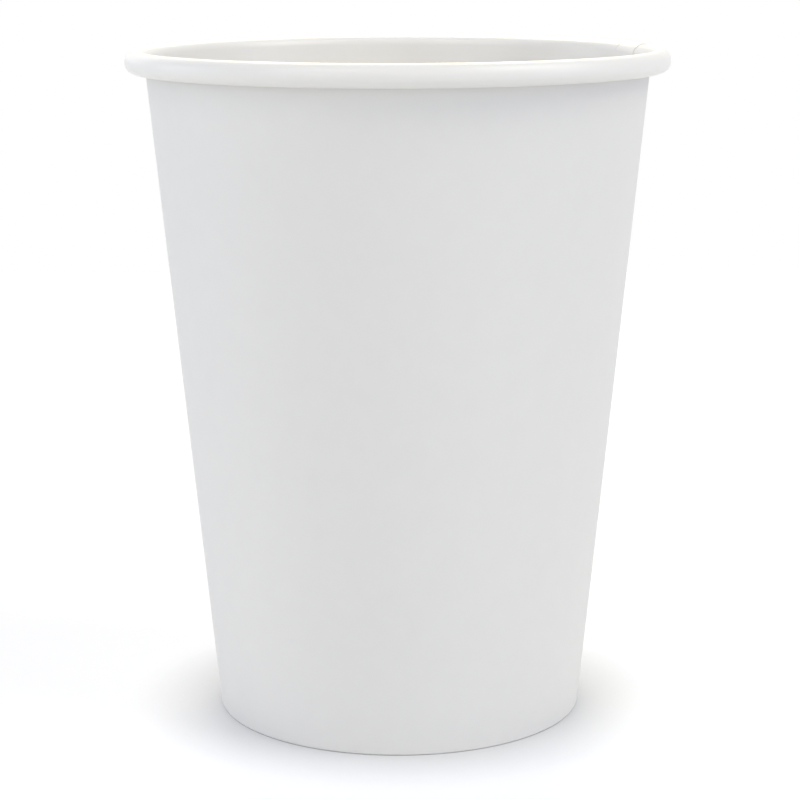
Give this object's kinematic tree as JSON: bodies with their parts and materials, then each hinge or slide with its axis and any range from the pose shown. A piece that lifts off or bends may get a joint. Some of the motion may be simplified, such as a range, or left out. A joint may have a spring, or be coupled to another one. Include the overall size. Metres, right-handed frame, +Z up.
{
  "type": "paper coffee cup",
  "caption": "Plain white single-wall paper coffee cup with a rolled rim, a lapped side seam and a recessed bottom, without a lid.",
  "frame": {"origin": "on the table, under the middle of the cup's foot", "axes": "+Z up along the cup's own axis; the front faces -Y; the side seam stands 20 degrees round from +X towards +Y, so it is out of sight from the front"},
  "size_m": [0.09, 0.09, 0.112],
  "materials": {
    "wall_board": "matte",
    "bottom_board": "satin"
  },
  "bodies": {
    "root": {"sidewall": "wall_board", "bottom_disc": "bottom_board"}
  },
  "joints": []
}
